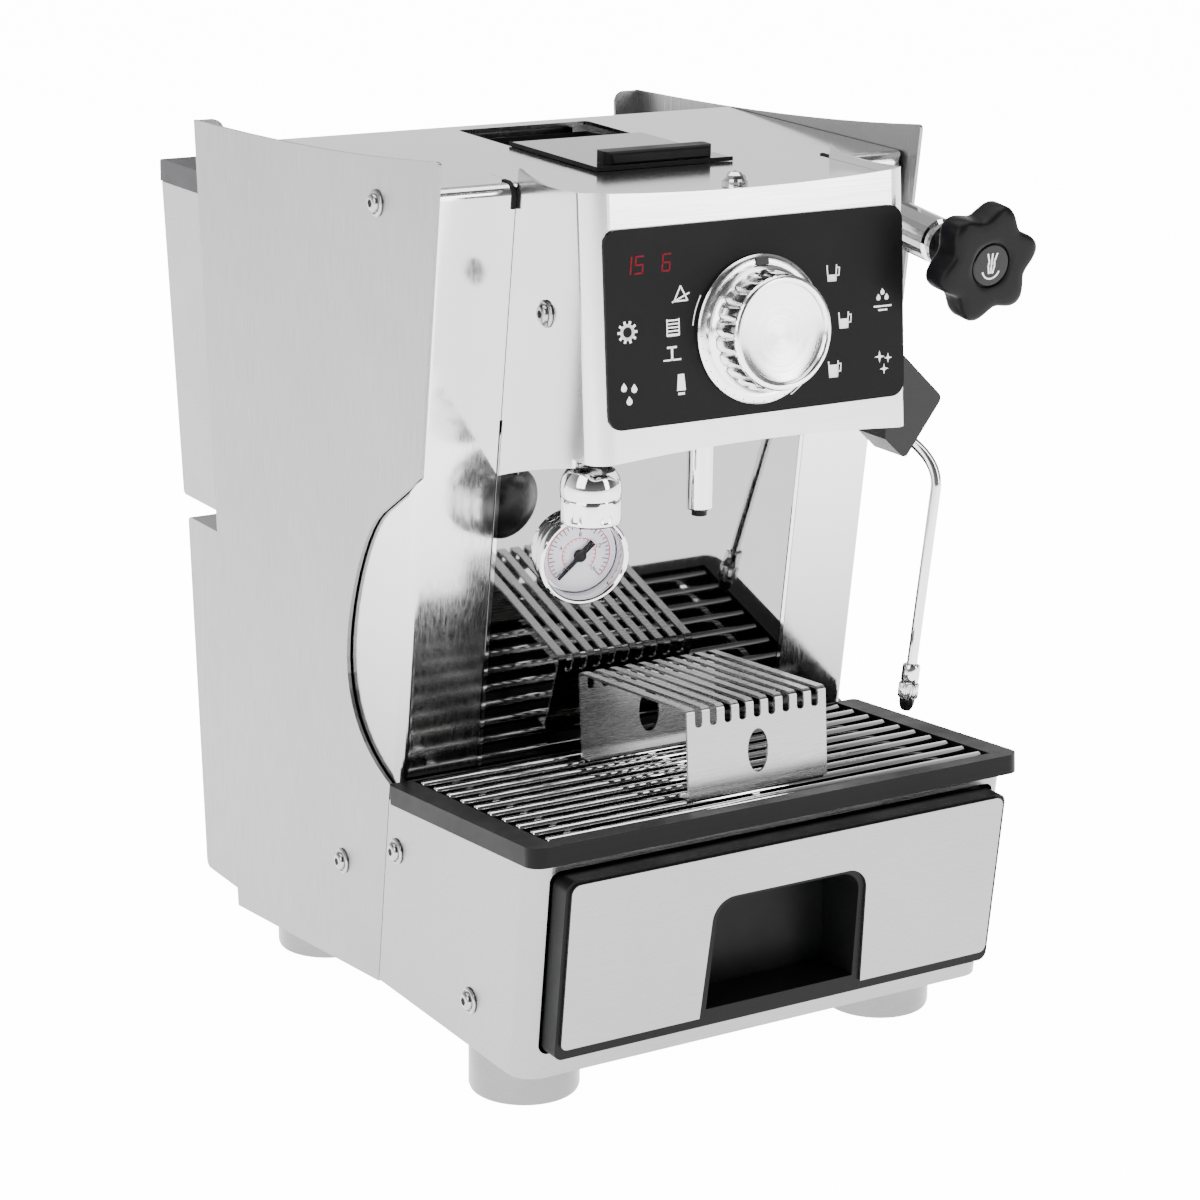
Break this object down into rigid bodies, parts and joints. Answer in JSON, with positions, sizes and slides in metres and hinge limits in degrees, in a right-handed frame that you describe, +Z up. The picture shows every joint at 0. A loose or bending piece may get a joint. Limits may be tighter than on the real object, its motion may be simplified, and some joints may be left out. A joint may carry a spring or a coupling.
{
  "type": "espresso machine",
  "caption": "Countertop espresso machine with a leaning steel body, bean hopper, front dial, steam wand, gauge, drip tray with cup stand, grounds drawer and rear water tank.",
  "frame": {"origin": "centre of the bounding box in X and Y, at the height of the feet", "axes": "+X to the right of a person who faces the machine, +Y from the front to the rear, +Z up"},
  "size_m": [0.309, 0.48, 0.495],
  "materials": {
    "mirror_steel": "polished",
    "polished_steel": "polished",
    "brushed_steel": "brushed",
    "chrome": "polished",
    "aluminium": "satin",
    "brass": "machined",
    "black_plastic": "matte",
    "gloss_black": "gloss",
    "grey_plastic": "matte",
    "smoke_plastic": "translucent, gloss",
    "white_plastic": "matte",
    "circuit_green": "satin"
  },
  "bodies": {
    "machine": {"base_wrap": "brushed_steel", "bean_hopper": "black_plastic", "body_shell": "polished_steel", "brew_group": "brass", "burr_ring": "brushed_steel", "chassis_floor": "brushed_steel", "coffee_spout": "chrome", "control_board": "circuit_green", "control_panel": "gloss_black", "dome_nut": "chrome", "foot_front_left": "aluminium", "foot_front_right": "aluminium", "foot_rear_left": "aluminium", "foot_rear_right": "aluminium", "gauge_case": "chrome", "gauge_dial": "white_plastic", "gauge_fitting": "chrome", "grinder_motor": "grey_plastic", "head_shell": "polished_steel", "head_underside": "polished_steel", "power_inlet": "black_plastic", "rear_cover": "brushed_steel", "rear_housing": "brushed_steel", "screw_base_front_left": "chrome", "screw_base_front_right": "chrome", "screw_base_rear_left": "chrome", "screw_base_rear_right": "chrome", "screw_head_left": "chrome", "screw_head_right": "chrome", "screw_panel_low_left": "chrome", "screw_panel_low_right": "chrome", "screw_panel_top_left": "chrome", "screw_panel_top_right": "chrome", "side_panel_left": "brushed_steel", "side_panel_right": "brushed_steel", "splash_panel": "mirror_steel", "spout_nozzle": "black_plastic", "steam_boiler": "brushed_steel", "steam_valve": "chrome", "valve_collar": "chrome", "wand_housing": "black_plastic", "water_pump": "grey_plastic"},
    "drawer": {"drawer_box": "black_plastic", "drawer_front": "brushed_steel"},
    "hopper_cover": {"hopper_lid": "grey_plastic", "hopper_lid_handle": "black_plastic"},
    "dial": {"dial_knob": "chrome"},
    "steam_tap": {"steam_knob": "black_plastic"},
    "wand": {"wand_tube": "chrome", "wand_tip": "chrome"},
    "needle": {"gauge_needle": "black_plastic"},
    "tray": {"drip_tray": "black_plastic"},
    "grid": {"drip_grid": "chrome"},
    "stand": {"cup_stand": "brushed_steel"},
    "tank": {"water_tank": "smoke_plastic"},
    "tank_cap": {"tank_lid": "grey_plastic"},
    "burr": {"grinder_burr": "brushed_steel"},
    "piston": {"brew_piston": "aluminium"},
    "rocker": {"power_switch": "black_plastic"}
  },
  "joints": [
    {"name": "drawer_slide", "type": "slide", "parent": "machine", "child": "drawer", "axis": [0, -1, 0], "range_m": [0, 0.15]},
    {"name": "hopper_lid_slide", "type": "slide", "parent": "machine", "child": "hopper_cover", "axis": [0, 0.9999, 0.0168], "range_m": [0, 0.0585]},
    {"name": "dial_turn", "type": "hinge", "parent": "machine", "child": "dial", "pos_m": [0, -0.19049, 0.40839], "axis": [0, -0.9966, 0.083], "range_deg": [-135, 135]},
    {"name": "steam_tap_turn", "type": "hinge", "parent": "machine", "child": "steam_tap", "pos_m": [0.123, -0.21531, 0.4372], "axis": [0, -0.9923, -0.1236], "range_deg": [0, 360]},
    {"name": "wand_swing", "type": "hinge", "parent": "machine", "child": "wand", "pos_m": [0.1204, -0.15853, 0.3321], "axis": [0.8, 0, -0.6], "range_deg": [-35, 35]},
    {"name": "needle_turn", "type": "hinge", "parent": "machine", "child": "needle", "pos_m": [-0.0745, -0.14353, 0.2845], "axis": [0.1736, 0.9811, 0.0858], "range_deg": [0, 270], "stiffness_Nm_per_rad": 0.0005},
    {"name": "tray_lift", "type": "slide", "parent": "machine", "child": "tray", "axis": [0, 0, 1], "range_m": [0, 0.008]},
    {"name": "grid_lift", "type": "slide", "parent": "tray", "child": "grid", "axis": [0, 0, 1], "range_m": [0, 0.008]},
    {"name": "stand_lift", "type": "slide", "parent": "grid", "child": "stand", "axis": [0, 0, 1], "range_m": [0, 0.06]},
    {"name": "tank_lift", "type": "slide", "parent": "machine", "child": "tank", "axis": [0, 0.0828, 0.9966], "range_m": [0, 0.15]},
    {"name": "tank_lid_turn", "type": "hinge", "parent": "tank", "child": "tank_cap", "pos_m": [0, 0.17183, 0.447], "axis": [1, 0, 0], "range_deg": [0, 80]},
    {"name": "burr_turn", "type": "hinge", "parent": "machine", "child": "burr", "pos_m": [0, -0.02303, 0.35], "axis": [0, 0, 1], "continuous": true},
    {"name": "piston_press", "type": "slide", "parent": "machine", "child": "piston", "axis": [0, 0, -1], "range_m": [0, 0.015]},
    {"name": "rocker_tilt", "type": "hinge", "parent": "machine", "child": "rocker", "pos_m": [-0.044, 0.19573, 0.06029], "axis": [1, 0, 0], "range_deg": [0, 14]}
  ]
}
